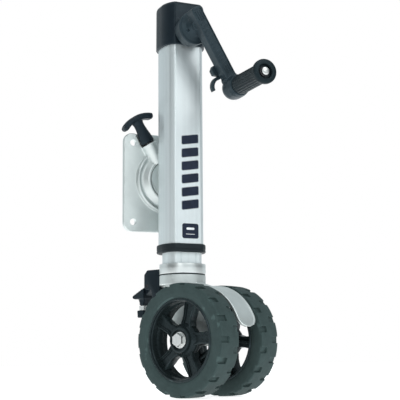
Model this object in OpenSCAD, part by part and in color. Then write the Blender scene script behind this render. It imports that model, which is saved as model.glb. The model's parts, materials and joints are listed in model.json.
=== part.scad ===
// Side-wind swing-up tongue jack with a dual-wheel caster.
// Millimetres, +Z up. The origin is on the swing pivot's axis, at the back face of the mounting plate.
// +Y points into the trailer frame, so the jack stands on the -Y side of the origin.
// Heights named *_h are measured from the ground under the wheels with the jack wound right up.

/* [Mounting bracket] */
// Height of the swing pivot above the ground
pivot_h = 414; // [410:1:420]
// Distance from the tube's axis back to the mounting face
plate_back = 84; // [84:1:88]
// Width of the mounting plate
plate_w = 162; // [160:1:170]
// Height of the mounting plate
plate_tall = 193; // [188:1:200]
// Thickness of the mounting plate
plate_t = 10; // [10:0.5:12]
// Centre of the bolt pattern left of the pivot
pattern_left = 9.5; // [5:0.5:12]
// Centre of the bolt pattern below the pivot
pattern_drop = 5.5; // [0:0.5:8]
// Spacing of the mounting holes across the jack
hole_gap_x = 124; // [120:1:128]
// Spacing of the mounting holes up the jack
hole_gap_z = 156; // [150:1:160]
// Radius of the mounting holes
hole_r = 6.5; // [5:0.25:7]
// Lean of the pull pin to the left of vertical
pin_lean = 30; // [25:1:35]

/* [Tube and cap] */
// Radius of the round sides of the outer tube
tube_r = 39.5; // [39:0.25:40.5]
// Distance from the tube's front circle to its back circle
tube_depth = 15; // [13:1:16]
// Distance of the flat front ahead of the tube's axis
flat_front = 30; // [29:0.25:31]
// Wall thickness of the tubes
wall = 3; // [2.5:0.25:3.25]
// Height of the outer tube's lower end
tube_bottom_h = 267.6; // [266:0.2:269]
// Height of the outer tube's upper end
tube_top_h = 672; // [671:0.5:674]
// Height of the cap's lower edge
cap_bottom_h = 661; // [660:0.5:662]
// Height of the top of the cap
cap_top_h = 748; // [744:1:752]

/* [Lift] */
// Radius of the inner tube's round sides
leg_r = 36; // [35.9:0.05:36]
// Height of the inner tube's upper end
leg_top_h = 598; // [590:1:602]
// Radius of the lead screw
screw_r = 9; // [8.5:0.25:9.5]
// Teeth on the lead screw's bevel gear
gear_teeth = 24; // [24:12:24]

/* [Crank] */
// Height of the crank's axis
crank_h = 686; // [685:0.5:687]
// Swing of the crank arm towards +X from hanging straight down
arm_angle = 30; // [0:0.5:45]
// Distance from the crank's axis to the grip's axis
arm_len = 135; // [125:1:140]
// Length of the spinning grip
grip_len = 100; // [90:1:110]

/* [Caster] */
// Turn of the caster from straight ahead
caster_yaw = 24.7; // [0:0.1:40]
// Distance from the swivel's axis to the axle
trail = 60.8; // [58:0.2:64]
// Radius of the wheels over the tyre
wheel_r = 101.6; // [101:0.1:102]
// Width of a tyre
tyre_w = 48; // [46:1:48]
// Distance between the middles of the two wheels
track = 110.6; // [110:0.2:112]
// Radius of the axle bolt
axle_r = 6.3; // [6:0.1:6.3]

/* [Hidden] */
$fn = 96;
eps = 0.1;
fit = 0.05;            // running clearance on a radius
gap = 0.3;             // clearance between sliding shells
bore_fit = 0.02;       // clearance of a gear or nut on the shaft that it is fixed to
side_flat = 0.15;      // how far the tube's side flats stand inside its circles
cap_wall = 4.2;
cap_edge_h = 739;      // where the cap's domed top starts

// Bracket, in distances forward of the mounting face
ring_t = 24;           // front of the raised ring
ring_r = 65;
pocket_r = 39.8;       // bore of the ring around the pivot disc
floor_t = 8;           // floor of that bore
recess_r = 24;         // recess behind the retainer plate
recess_t = 4;
spigot_r = 16;
bush_r = 19;
disc_r = 39;
groove_r = 34.5;       // floor of the groove the pull pin's nose runs in
groove_t = 19.6;       // front side of that groove
pin_t = 14;            // plane of the pull pin
pin_r = 5;
stem_r = 4;            // the pull pin's thinner outer length
nose_at = 35.5;        // tip of the pull pin from the pivot's axis
housing_r = 15.5;
housing_end = 82;      // outer end of the pull pin's housing
chamber_r = 10.5;      // spring chamber
chamber_from = 52;
plug_from = 77;
plug_end = 84;
stem_half_t = 9.8;     // half thickness of the pull handle's stem
stem_side = 4.5;       // from the middle of that stem to the centre of its round sides
trough_r = 11;         // round sides of the trough in the plate that clears the stem
saddle_bolt_x = 12;
saddle_bolt_z = 20;
saddle_bolt_r = 4;
pivot_bolt_r = 4.9;
cone_r = 10.1;         // countersink in the retainer plate and the disc
cone_from = 1.3;
cone_to = 5.4;
plate_corner_r = 16;
cap_screw_x = 14;
cap_screw_h = 666.5;
cap_screw_seat = 54.5; // distance behind the tube's axis

// Gearbox
apex_to_pinion = 20;   // pitch radius of the gear, at the middle of its teeth
apex_to_gear = 10;     // pitch radius of the pinion
pinion_teeth = gear_teeth * apex_to_gear / apex_to_pinion;
gear_hub_h = 663;
shaft_r = 6;
journal_r = 8;
screw_bottom_h = 312;
journal_from_h = 648;  // foot of the screw's journal and of the bearing plate
plate_top_h = 656;     // top of the bearing plate

// Crank, in distances ahead of the tube's axis
hub_back = 39;
dish_r = 32;
dish_front = 66;
neck_r = 14;
hub_pin_r = 2.5;
grip_bolt_r = 5;
arm_back = 80;
arm_front = 105;
arm_half = 11;
arm_over = 31;         // how far the arm reaches past the crank's axis
boss_r = 22;
boss_front = 119;
grip_r = 18.5;
grip_flange_r = 22.5;
grip_from = boss_front + gap;
grip_to = grip_from + grip_len;

// Leg and caster
leg_depth = 5;
leg_flat = 26.5;
leg_groove_x = 15;
leg_bottom_h = 243.5;
collar_r = 43.4;
upper_collar_h = 224.7;
lower_collar_h = 222.7;
yoke_under_h = 204;
king_r = 9;
king_head_h = 252;
web_half = 10;
boss_axle_r = 10;
fender_r = 100.5;
fender_half = 25;
fender_tip = 13.5;     // angle of the fender's front edge above the axle
hub_r = 21.5;
hub_out = 22;          // outer end of the hub from the middle of the wheel
hub_in = 27.8;
axle_head = track / 2 + 20.1;  // inner faces of the axle bolt's head and nut
axle_hex_r = 12;
rim_r = 74.3;
barrel_r = 69;
bush_out_r = 9.5;
spokes = 5;
spoke_phase = 4;
lock_y = 44.3;         // front of the lock housing, behind the swivel's axis
lock_back = 84;
lock_half = 18;
pedal_y = 76;
pedal_h = 206;
shoe_h = 231;
shoe_gap = 6.3;        // from the released brake shoe to the upper collar
lock_screw_x = 8;
lock_screw_h = 211;
lock_screw_r = 2.5;
pedal_pin_r = 4;
strap_half = 4;

// ---------- places ----------

// Children are drawn about the tube's axis, with heights from the ground.
module jack() translate([0, -plate_back, -pivot_h]) children();

// Children are drawn about the pivot, with z forward from the mounting face and y up.
module on_plate() rotate([90, 0, 0]) children();

// Children are drawn with z along the pull pin, away from the pivot.
module along_pin() on_plate() translate([0, 0, pin_t]) rotate([0, 0, pin_lean]) rotate([-90, 0, 0]) children();

// Children are drawn with z forward along the crank's axis from the tube's axis, the arm hanging along -y.
module on_crank() jack() translate([0, 0, crank_h]) rotate([0, -arm_angle, 0]) rotate([90, 0, 0]) children();

// Children are drawn about the swivel's axis, with the axle along x and the wheels trailing towards -y.
module caster() jack() rotate([0, 0, caster_yaw]) children();

// Children are drawn about a wheel's middle, with z pointing out from the yoke.
module wheel(side) caster() translate([side * track / 2, -trail, wheel_r]) rotate([0, side * 90, 0]) children();

// Children are drawn about the middle of the axle, with z along it towards +x.
module on_axle() caster() translate([0, -trail, wheel_r]) rotate([0, 90, 0]) children();

// Children are drawn with z along the screws that hold the lock housing, pointing away from the swivel.
module lock_screw_places() caster() for (x = [-1, 1])
    translate([x * lock_screw_x, 0, lock_screw_h]) rotate([-90, 0, 0]) children();

// Children are drawn with z along the foot pedal's pin.
module on_pedal_pin() caster() translate([0, pedal_y, pedal_h]) rotate([0, 90, 0]) children();

// A side view in (y, height) of the caster, made solid across it.
module across(half) rotate([90, 0, 90]) linear_extrude(2 * half, center = true) children();

// ---------- shared shapes ----------

// The tubes' section: a round-backed, round-sided shape with a flat front.
module d_section(r, flat, depth) {
    intersection() {
        union() {
            circle(r);
            translate([0, depth]) circle(r);
            translate([side_flat - r, 0]) square([2 * (r - side_flat), depth]);
        }
        translate([-2 * r, -flat]) square([4 * r, 4 * r + flat]);
    }
}

module ring(outer, inner, from, to) {
    translate([0, 0, from]) difference() {
        cylinder(r = outer, h = to - from);
        translate([0, 0, -eps]) cylinder(r = inner, h = to - from + 2 * eps);
    }
}

module rod(r, from, to) translate([0, 0, from]) cylinder(r = r, h = to - from);

module hex(r, from, to) translate([0, 0, from]) cylinder(r = r, h = to - from, $fn = 6);

module rounded_plate(w, h, r) {
    for (x = [r - w / 2, w / 2 - r], y = [r - h / 2, h / 2 - r]) translate([x, y]) circle(r);
    translate([-w / 2, r - h / 2]) square([w, h - 2 * r]);
    translate([r - w / 2, -h / 2]) square([w - 2 * r, h]);
}

// Half of a straight bevel pair. The pitch cones meet at the origin and the gear's axis is -z.
module bevel(teeth, own_r, mate_r, bore, back) {
    slant = sqrt(own_r * own_r + mate_r * mate_r);
    tilt = atan(mate_r / own_r);
    face = 6;
    root = 1.8;
    tip = 1.3;
    tooth = 0.3 * 360 / teeth * PI / 180 * own_r;
    s = [cos(tilt), -sin(tilt)];
    n = [-sin(tilt), -cos(tilt)];
    inner = (slant - face / 2) * s + root * n;
    outer = (slant + face / 2) * s + root * n;
    difference() {
        union() {
            rotate_extrude() polygon([inner, outer, [outer.x, -back], [0, -back], [0, inner.y]]);
            for (i = [0:teeth - 1]) rotate([0, 0, i * 360 / teeth])
                rotate([0, tilt, 0]) translate([slant - face / 2, 0, 0]) rotate([90, 0, 90])
                    linear_extrude(face) polygon([[-tooth / 2 - 0.5, -root - 1], [tooth / 2 + 0.5, -root - 1],
                                                  [tooth / 2, 0], [tooth / 2 - 0.4, tip],
                                                  [0.4 - tooth / 2, tip], [-tooth / 2, 0]]);
        }
        translate([0, 0, -back - eps]) cylinder(r = bore, h = back + slant);
    }
}

// ---------- mounting bracket ----------

module mount_plate() {
    color("gainsboro") difference() {
        union() {
            on_plate() translate([-pattern_left, -pattern_drop, 0]) linear_extrude(plate_t)
                rounded_plate(plate_w, plate_tall, plate_corner_r);
            on_plate() rotate_extrude() polygon([[recess_r, plate_t / 2], [ring_r, plate_t / 2], [ring_r, 14],
                                                 [ring_r - 2, 16.5], [ring_r - 4.5, 17], [ring_r - 7, 15.5],
                                                 [55, 15.5], [44.5, ring_t - 1.5], [43, ring_t],
                                                 [recess_r, ring_t]]);
            intersection() {
                along_pin() rod(housing_r, 46, housing_end);
                on_plate() translate([-100, 0, 0]) cube([200, 200, 60]);
            }
        }
        on_plate() rod(pocket_r, floor_t, ring_t + eps);
        on_plate() rod(bush_r + fit, recess_t - eps, floor_t + eps);
        on_plate() rod(recess_r, -eps, recess_t);
        along_pin() rod(pin_r + fit, 30, chamber_from + eps);
        along_pin() rod(chamber_r, chamber_from, housing_end + eps);
        along_pin() translate([0, 0, housing_end]) linear_extrude(60) {
            for (x = [-stem_side, stem_side]) translate([x, 0]) circle(trough_r);
            square([2 * stem_side, 2 * trough_r], center = true);
        }
        on_plate() for (x = [-1, 1], y = [-1, 1])
            translate([x * hole_gap_x / 2 - pattern_left, y * hole_gap_z / 2 - pattern_drop, -eps])
                cylinder(r = hole_r, h = plate_t + 2 * eps);
    }
}

module pivot_bush() color("darkgoldenrod") on_plate() ring(bush_r, spigot_r + fit, recess_t, floor_t);

// The pivot bolt's countersunk head, or its seat when grown by the clearance.
module pivot_cone(grow) {
    translate([0, 0, cone_from])
        cylinder(r1 = cone_r + grow, r2 = pivot_bolt_r + grow, h = cone_to - cone_from);
}

module retainer_plate() {
    color("silver") on_plate() difference() {
        rod(recess_r - 2, 1.4, recess_t - fit);
        pivot_cone(fit);
    }
}

module guide_plug() color("dimgray") along_pin() ring(chamber_r - fit, stem_r + fit, plug_from, plug_end);

module lock_pin() {
    color("silver") along_pin() {
        rod(pin_r, nose_at, chamber_from + 3);
        rod(chamber_r - 0.5, chamber_from + 0.2, chamber_from + 3);
        rod(stem_r, chamber_from + 3, 118);
    }
}

module pin_handle() {
    bow_r = 62;
    bow_at = 81;
    bow_t = 11;
    stem_from = plug_end + 1;
    color("#20262b") along_pin() difference() {
        union() {
            hull() for (x = [-1, 1]) {
                translate([x * stem_side, 0, stem_from]) cylinder(r = stem_half_t, h = 6, $fn = 32);
                translate([x * 2, 0, 130]) cylinder(r = 8, h = 4, $fn = 32);
            }
            intersection() {
                translate([0, 11, bow_at]) rotate([90, 0, 0]) difference() {
                    cylinder(r = bow_r, h = 22);
                    translate([0, 0, -eps]) cylinder(r = bow_r - bow_t, h = 22 + 2 * eps);
                }
                translate([0, 15, bow_at]) rotate([90, 0, 0]) linear_extrude(30)
                    polygon([[0, 0], [-75, 100], [75, 100]]);
            }
        }
        rod(stem_r + fit, 80, 118 + fit);
    }
}

module pin_spring() {
    turns = 5;
    from = chamber_from + 4;
    pitch = (plug_from - 1 - from) / turns;
    color("silver") along_pin() for (i = [0:turns]) translate([0, 0, from + i * pitch * 0.96 + 0.4])
        rotate_extrude() translate([7.4, 0]) circle(0.9, $fn = 24);
}

// ---------- outer tube ----------

module saddle_bolt_places() {
    for (x = [-1, 1], z = [-1, 1])
        translate([x * saddle_bolt_x, 0, pivot_h + z * saddle_bolt_z]) rotate([-90, 0, 0]) children();
}

module cap_screw_places() {
    for (x = [-1, 1]) translate([x * cap_screw_x, 0, cap_screw_h]) rotate([-90, 0, 0]) children();
}

module outer_tube() {
    color("lightgray") jack() difference() {
        translate([0, 0, tube_bottom_h]) linear_extrude(tube_top_h - tube_bottom_h) difference() {
            d_section(tube_r, flat_front, tube_depth);
            d_section(tube_r - wall, flat_front - wall, tube_depth);
        }
        saddle_bolt_places() rod(saddle_bolt_r + fit, 30, 80);
        cap_screw_places() rod(2 + fit, 30, 80);
    }
}

module pivot_disc() {
    color("silver") difference() {
        union() {
            on_plate() rod(disc_r, groove_t, ring_t);
            on_plate() rod(groove_r, floor_t + gap, groove_t + eps);
            on_plate() rod(spigot_r, recess_t + fit, floor_t + 1);
            on_plate() translate([-22, -30, ring_t - 1]) cube([44, 60, 15]);
        }
        jack() translate([0, 0, pivot_h - 60]) linear_extrude(120)
            d_section(tube_r + fit, flat_front, tube_depth);
        jack() saddle_bolt_places() rod(saddle_bolt_r + fit, 40, 70);
        on_plate() rod(pivot_bolt_r + fit, 0, ring_t);
        on_plate() pivot_cone(fit);
        for (turn = [0, -90]) rotate([0, turn, 0]) along_pin() rod(pin_r + 0.2, 28, disc_r);
    }
}

module pivot_bolt() {
    color("dimgray") on_plate() {
        pivot_cone(0);
        rod(pivot_bolt_r, cone_to - eps, ring_t - 1);
    }
}

module saddle_bolts() {
    color("dimgray") jack() saddle_bolt_places() {
        rod(6, 42.3, 46);
        rod(saddle_bolt_r, 46, 69);
    }
}

module top_cap() {
    color("#20262b") jack() difference() {
        union() {
            difference() {
                union() {
                    translate([0, 0, cap_bottom_h]) linear_extrude(cap_edge_h - cap_bottom_h)
                        d_section(tube_r + cap_wall, flat_front + cap_wall, tube_depth);
                    hull() {
                        translate([0, 0, cap_edge_h - 1]) linear_extrude(1)
                            d_section(tube_r + cap_wall, flat_front + cap_wall, tube_depth);
                        translate([0, 0, cap_top_h - 3.5]) linear_extrude(1)
                            d_section(tube_r + 1, flat_front + 1, tube_depth);
                        translate([0, 0, cap_top_h - 1]) linear_extrude(1)
                            d_section(tube_r - 6, flat_front - 6, tube_depth);
                    }
                }
                translate([0, 0, cap_bottom_h - eps]) linear_extrude(cap_edge_h - cap_wall - cap_bottom_h)
                    d_section(tube_r + fit, flat_front + fit, tube_depth);
            }
            translate([0, 0, crank_h]) rotate([90, 0, 0]) rod(14, 27.5, flat_front + 2);
        }
        translate([0, 0, crank_h]) rotate([90, 0, 0]) rod(bush_out_r + fit, 20, 50);
        cap_screw_places() rod(2 + fit, 50, 70);
        cap_screw_places() rod(4 + fit, cap_screw_seat, 70);
    }
}

module cap_screws() {
    color("dimgray") jack() cap_screw_places() {
        rod(4, cap_screw_seat, cap_screw_seat + 3);
        rod(2, 46, cap_screw_seat + eps);
    }
}

module bottom_ring() {
    lip_h = tube_bottom_h - 0.1;
    color("#1c2124") jack() difference() {
        translate([0, 0, 264.6]) linear_extrude(15.8) d_section(tube_r + 4.3, flat_front + 4.3, tube_depth - 2);
        translate([0, 0, lip_h]) linear_extrude(20) d_section(tube_r + fit, flat_front + fit, tube_depth);
        translate([0, 0, 260]) linear_extrude(20) d_section(leg_r + gap, leg_flat + gap, leg_depth);
    }
}

module bearing_plate() {
    color("silver") jack() difference() {
        translate([0, 0, journal_from_h]) linear_extrude(plate_top_h - journal_from_h)
            d_section(tube_r - wall - fit, flat_front - wall - fit, tube_depth);
        rod(journal_r + fit, journal_from_h - eps, plate_top_h + eps);
    }
}

module thrust_bearing() {
    color("silver") jack() {
        ring(17, journal_r + 0.2, plate_top_h, plate_top_h + 2.2);
        ring(17, journal_r + 0.2, gear_hub_h - 2.2, gear_hub_h - fit);
        for (i = [0:11]) rotate([0, 0, i * 30]) translate([12.5, 0, plate_top_h + 3.5]) sphere(1.28, $fn = 24);
    }
}

module crank_bush() {
    color("darkgoldenrod") jack() translate([0, 0, crank_h]) rotate([90, 0, 0]) {
        ring(bush_out_r, shaft_r + fit, 27.5, flat_front + cap_wall + eps);
        ring(12, shaft_r + fit, flat_front + cap_wall + fit, flat_front + cap_wall + 3);
    }
}

module decal_plate(w, h, r, at_h) {
    jack() translate([3.6, -flat_front, at_h]) rotate([90, 0, 0]) linear_extrude(0.4) rounded_plate(w, h, r);
}

module stripe_decal() color("#1d2733") decal_plate(36, 149, 5, 416);

module badge() color("#1d2733") decal_plate(33, 28, 4, 304);

// ---------- crank ----------

module on_hub_pin() translate([0, 0, arm_back - 8]) rotate([0, 90, 0]) children();

module crank_shaft() {
    color("silver") on_crank() difference() {
        rod(shaft_r, 12, arm_front - 3);
        on_hub_pin() rod(hub_pin_r + fit, -20, 20);
    }
}

// The pinion stands half a tooth round from the gear's tooth at the line of contact.
module drive_pinion() {
    color("darkgray") jack() translate([0, 0, crank_h]) rotate([-90, 0, 0])
        rotate([0, 0, 90 + 180 / pinion_teeth])
            bevel(pinion_teeth, apex_to_gear, apex_to_pinion, shaft_r + bore_fit, 27);
}

module crank_arm() {
    color("#262d33") on_crank() difference() {
        union() {
            rotate_extrude() polygon([[0, hub_back], [dish_r - 2, hub_back], [dish_r, dish_front - 4],
                                      [dish_r, dish_front], [dish_r - 4, dish_front], [20, 71],
                                      [neck_r, arm_back], [neck_r - 2, arm_front - 4], [0, arm_front - 4]]);
            translate([-arm_half, -arm_len, arm_back])
                cube([2 * arm_half, arm_len + arm_over, arm_front - arm_back]);
            translate([0, -arm_len, 0]) rod(boss_r, arm_back, boss_front);
        }
        rod(shaft_r + fit, hub_back - eps, arm_front - 3 + fit);
        on_hub_pin() rod(hub_pin_r + fit, -40, 40);
        translate([0, -arm_len, 0]) rod(grip_bolt_r + fit, 70, boss_front + eps);
        translate([0, -arm_len, 0]) rod(9, arm_back - eps, arm_back + 6);
        for (y = [[-arm_len + boss_r + 6, -38], [-30, arm_over - 5]])
            translate([-arm_half + 3, y.x, arm_front - 1.5]) cube([2 * arm_half - 6, y.y - y.x, 3]);
        translate([-arm_half + 3, -35, arm_front - 1.5]) cube([2 * arm_half - 6, 2, 3]);
    }
}

module hub_pin() color("silver") on_crank() on_hub_pin() rod(hub_pin_r, -neck_r, neck_r);

// A spring clip on the arm's side: a short jaw above and a curved hook below.
module stow_clip() {
    color("#20262b") on_crank() translate([0, 0, arm_back - 12]) {
        translate([-arm_half - 6, -104, 0]) cube([arm_half + 14, 20, 11.95]);
        translate([-arm_half - 8, -96, 0]) cube([4, 12, 11.95]);
        intersection() {
            translate([-15, -122, 0]) ring(20, 14, 0, 11.95);
            translate([-15, -122, 0]) linear_extrude(20) polygon([[0, 0], [10, 40], [-40, 40], [-40, 2]]);
        }
    }
}

module grip_bolt() {
    color("silver") on_crank() translate([0, -arm_len, 0]) {
        rod(grip_bolt_r, arm_back + 1, grip_to - 4);
        rod(7.4, grip_to - 4, grip_to + 1.5);
        hex(8, arm_back + 1, arm_back + 5.5);
    }
}

module grip_washer() {
    color("silver") on_crank() translate([0, -arm_len, 0])
        ring(9, grip_bolt_r + fit, grip_to - 5.8, grip_to - 4);
}

module crank_grip() {
    color("#171b1f") on_crank() translate([0, -arm_len, 0]) difference() {
        rotate_extrude() polygon([[0, grip_from], [grip_r - 1, grip_from], [grip_r, grip_from + 2],
                                  [grip_r, grip_to - 12], [grip_flange_r, grip_to - 8],
                                  [grip_flange_r, grip_to - 2], [grip_flange_r - 2, grip_to], [0, grip_to]]);
        rod(grip_bolt_r + fit, grip_from - eps, grip_to);
        rod(12, grip_to - 6, grip_to + eps);
    }
}

// ---------- screw ----------

module lead_screw() {
    color("silver") jack() {
        rod(screw_r, screw_bottom_h, journal_from_h);
        rod(journal_r, journal_from_h, tube_top_h);
    }
}

module screw_gear() {
    color("darkgray") jack() translate([0, 0, crank_h]) rotate([0, 0, 90])
        bevel(gear_teeth, apex_to_pinion, apex_to_gear, journal_r + bore_fit, crank_h - gear_hub_h);
}

// ---------- inner leg ----------

module inner_tube() {
    color("lightgray") jack() difference() {
        translate([0, 0, leg_bottom_h]) linear_extrude(leg_top_h - leg_bottom_h) difference() {
            d_section(leg_r, leg_flat, leg_depth);
            d_section(leg_r - wall, leg_flat - wall, leg_depth);
        }
        for (x = [-1, 1]) translate([x * leg_groove_x - 1.7, -leg_flat - 1, leg_bottom_h - 1])
            cube([3.4, 2.4, 400]);
    }
}

module lift_nut() {
    color("darkgoldenrod") jack() difference() {
        union() {
            translate([0, 0, leg_top_h - 22]) linear_extrude(22)
                d_section(leg_r - wall - fit, leg_flat - wall - fit, leg_depth);
            translate([0, 0, leg_top_h]) linear_extrude(4) d_section(leg_r, leg_flat, leg_depth);
        }
        rod(screw_r + fit, leg_top_h - 30, leg_top_h + 10);
    }
}

module leg_collar() {
    color("gainsboro") jack() difference() {
        union() {
            rod(collar_r, upper_collar_h, leg_bottom_h);
            translate([0, 0, leg_bottom_h]) linear_extrude(king_head_h - leg_bottom_h)
                d_section(leg_r - wall - fit, leg_flat - wall - fit, leg_depth);
        }
        rod(king_r + fit, 200, 260);
    }
}

module king_pin() {
    color("silver") jack() {
        hex(15, king_head_h, king_head_h + 10);
        rod(king_r, 188, king_head_h);
    }
}

module king_nut() {
    color("silver") jack() difference() {
        hex(15, 192, 202);
        rod(king_r + bore_fit, 180, 210);
    }
}

// ---------- caster ----------

module yoke() {
    axle = [-trail, wheel_r];
    color("gainsboro") caster() difference() {
        union() {
            rod(collar_r, yoke_under_h, lower_collar_h);
            across(web_half) polygon([[-42, yoke_under_h + 4], [40, yoke_under_h + 4], [37, 165], [29, 118],
                                      axle + boss_axle_r * [0.34, -0.94], axle + boss_axle_r * [-0.94, 0.34],
                                      axle + [-34, 45], axle + [-30, fender_r - 8]]);
            translate([0, -trail, wheel_r]) rotate([0, 90, 0]) rod(boss_axle_r, -web_half, web_half);
            intersection() {
                translate([0, -trail, wheel_r]) rotate([0, 90, 0]) union() {
                    ring(fender_r, fender_r - 4, -fender_half, fender_half);
                    for (x = [-fender_half, fender_half - 3]) ring(fender_r, fender_r - 6.5, x, x + 3);
                }
                across(30) polygon([axle, axle + 200 * [-cos(fender_tip), sin(fender_tip)],
                                    axle + [-150, 150], axle + [30, 150]]);
            }
            translate([-13, 36, 202]) cube([26, lock_y - 36 - fit, 18]);
        }
        rod(king_r + fit, 180, 230);
        rod(17.5, 186, yoke_under_h);
        translate([0, -trail, wheel_r]) rotate([0, 90, 0]) rod(axle_r + 0.1, -50, 50);
        for (x = [-1, 1]) translate([x * lock_screw_x, 0, lock_screw_h]) rotate([-90, 0, 0])
            rod(lock_screw_r + fit, 34, 50);
    }
}

module swivel_washer() {
    color("darkgoldenrod") caster() ring(28, king_r + 0.2, lower_collar_h, upper_collar_h - fit);
}

module swivel_seal() color("#1c2124") caster() ring(42.6, 28.5, lower_collar_h, upper_collar_h - 0.2);

module axle_bolt() {
    color("silver") on_axle() {
        rod(axle_r, -axle_head, axle_head + 9);
        hex(axle_hex_r, -axle_head - 7.6, -axle_head);
    }
}

module axle_nut() {
    color("silver") on_axle() difference() {
        hex(axle_hex_r, axle_head, axle_head + 7.6);
        rod(axle_r + bore_fit, axle_head - 1, axle_head + 20);
    }
}

module axle_spacers() {
    color("dimgray") on_axle() for (side = [0, 1]) mirror([0, 0, side])
        ring(boss_axle_r - 0.5, axle_r + 0.1, web_half + fit, track / 2 - hub_in - fit);
}

module axle_washers() {
    color("silver") on_axle() for (side = [0, 1]) mirror([0, 0, side])
        ring(14.5, axle_r + 0.1, track / 2 + hub_out - 4 + fit, axle_head);
}

module rim(side) {
    color("#1b1f22") wheel(side) difference() {
        union() {
            ring(rim_r, barrel_r, 2 - tyre_w / 2, tyre_w / 2 - 2);
            rod(hub_r, -8, hub_out);
            rod(16, -hub_in, 0);
            for (i = [0:spokes - 1]) rotate([0, 0, spoke_phase - 90 + i * 360 / spokes])
                translate([0, 0, -6]) linear_extrude(22) polygon([[10, -9], [barrel_r + 1, -12],
                                                                  [barrel_r + 1, 12], [10, 9]]);
            ring(barrel_r + 2, barrel_r - 4, -8, 4);
        }
        rod(bush_out_r + fit, -hub_in - eps, hub_out + eps);
        rod(18.5, hub_out - 4, hub_out + eps);
    }
}

module tyre(side) {
    half = tyre_w / 2;
    shoulder = 4;
    corner = [wheel_r - shoulder, half - shoulder];
    round_edge = [for (a = [0:15:90]) corner + shoulder * [sin(a), cos(a)]];
    upper = concat([[rim_r + 0.05, half - 2.5], [80, half - 0.6], [86, half]], round_edge);
    lower = [for (i = [len(upper) - 1:-1:0]) [upper[i].x, -upper[i].y]];
    color("#2c3436") wheel(side) rotate_extrude() polygon(concat(upper, lower));
}

module bushes(side) {
    color("darkgoldenrod") wheel(side) {
        ring(bush_out_r, axle_r + fit, -hub_in, 14 - hub_in);
        ring(bush_out_r, axle_r + fit, 4, hub_out - 4);
    }
}

module rim_left() rim(-1);
module rim_right() rim(1);
module tyre_left() tyre(-1);
module tyre_right() tyre(1);
module bushes_left() bushes(-1);
module bushes_right() bushes(1);

// ---------- swivel lock ----------

module lock_housing() {
    color("#20262b") difference() {
        caster() across(lock_half) polygon([[lock_y, 182], [62, 182], [66, 199], [lock_back - 4, 199],
                                            [lock_back, 205], [lock_back, 228], [lock_back - 8, 236.5],
                                            [lock_y, 236.5]]);
        caster() across(9) polygon([[62, 190], [lock_back + 1, 190], [lock_back + 1, 222],
                                    [84, 234.6], [62, 234.6]]);
        caster() translate([-6.2, lock_y - 1, shoe_h - 3.2]) cube([12.4, 40, 6.4]);
        on_pedal_pin() rod(pedal_pin_r + fit, -30, 30);
        lock_screw_places() rod(lock_screw_r + fit, 40, 64);
    }
}

module housing_screws() color("dimgray") lock_screw_places() rod(lock_screw_r, 35, 61.5);

module pedal_pin() color("silver") on_pedal_pin() rod(pedal_pin_r, -lock_half, lock_half);

module brake_shoe() {
    color("silver") caster() translate([-6, collar_r + shoe_gap, shoe_h - 3]) cube([12, 20, 6]);
}

module foot_pedal() {
    color("#20262b") difference() {
        caster() union() {
            across(8) polygon([[71.5, 205], [71.5, 234], [76, 234], [82, 211], [90, 207], [102, 200],
                               [112, 190], [103, 170], [94, 170], [88, 190], [76, 200]]);
            across(15) polygon([[88, 204], [119, 188.5], [118, 184], [112, 182.5], [88, 182.5]]);
            across(12) polygon([[88, 184], [102, 184], [102, 170.5], [92, 170.5]]);
        }
        on_pedal_pin() rod(pedal_pin_r + fit, -30, 30);
        caster() across(strap_half + fit) polygon([[93, 160], [101.1, 160], [101.1, 182.1], [93, 182.1]]);
    }
}

module pedal_strap() {
    color("silver") caster() {
        across(strap_half) polygon([[93.1, 150], [101, 150], [101, 182], [93.1, 182]]);
        across(11) polygon([[91, 161.2], [103, 161.2], [103, 170], [91, 170]]);
    }
}

module toe_pad() {
    color("#20262b") caster() difference() {
        across(13) polygon([[93, 147], [106, 147], [107.5, 161], [91, 161]]);
        across(strap_half + fit) polygon([[93, 149.9], [101.1, 149.9], [101.1, 170], [93, 170]]);
    }
}

mount_plate();
pivot_bush();
retainer_plate();
guide_plug();
lock_pin();
pin_handle();
pin_spring();
outer_tube();
pivot_disc();
pivot_bolt();
saddle_bolts();
top_cap();
cap_screws();
bottom_ring();
bearing_plate();
thrust_bearing();
crank_bush();
stripe_decal();
badge();
crank_shaft();
drive_pinion();
crank_arm();
hub_pin();
stow_clip();
grip_bolt();
grip_washer();
crank_grip();
lead_screw();
screw_gear();
inner_tube();
lift_nut();
leg_collar();
king_pin();
king_nut();
yoke();
swivel_washer();
swivel_seal();
axle_bolt();
axle_nut();
axle_spacers();
axle_washers();
lock_housing();
housing_screws();
pedal_pin();
brake_shoe();
foot_pedal();
pedal_strap();
toe_pad();
rim_left();
tyre_left();
bushes_left();
rim_right();
tyre_right();
bushes_right();
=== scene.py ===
"""Looks of a side-wind swing-up tongue jack with a twin-wheel caster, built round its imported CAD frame.

Shapes are modelled in millimetres in local frames (tube, caster, crank, plate, pin, wheel) and are put in
place in the row frame, in metres. The caster's, crank's and wheels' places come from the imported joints.
"""

import json
import math

import bmesh
import bpy
from mathutils import Matrix, Vector


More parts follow.
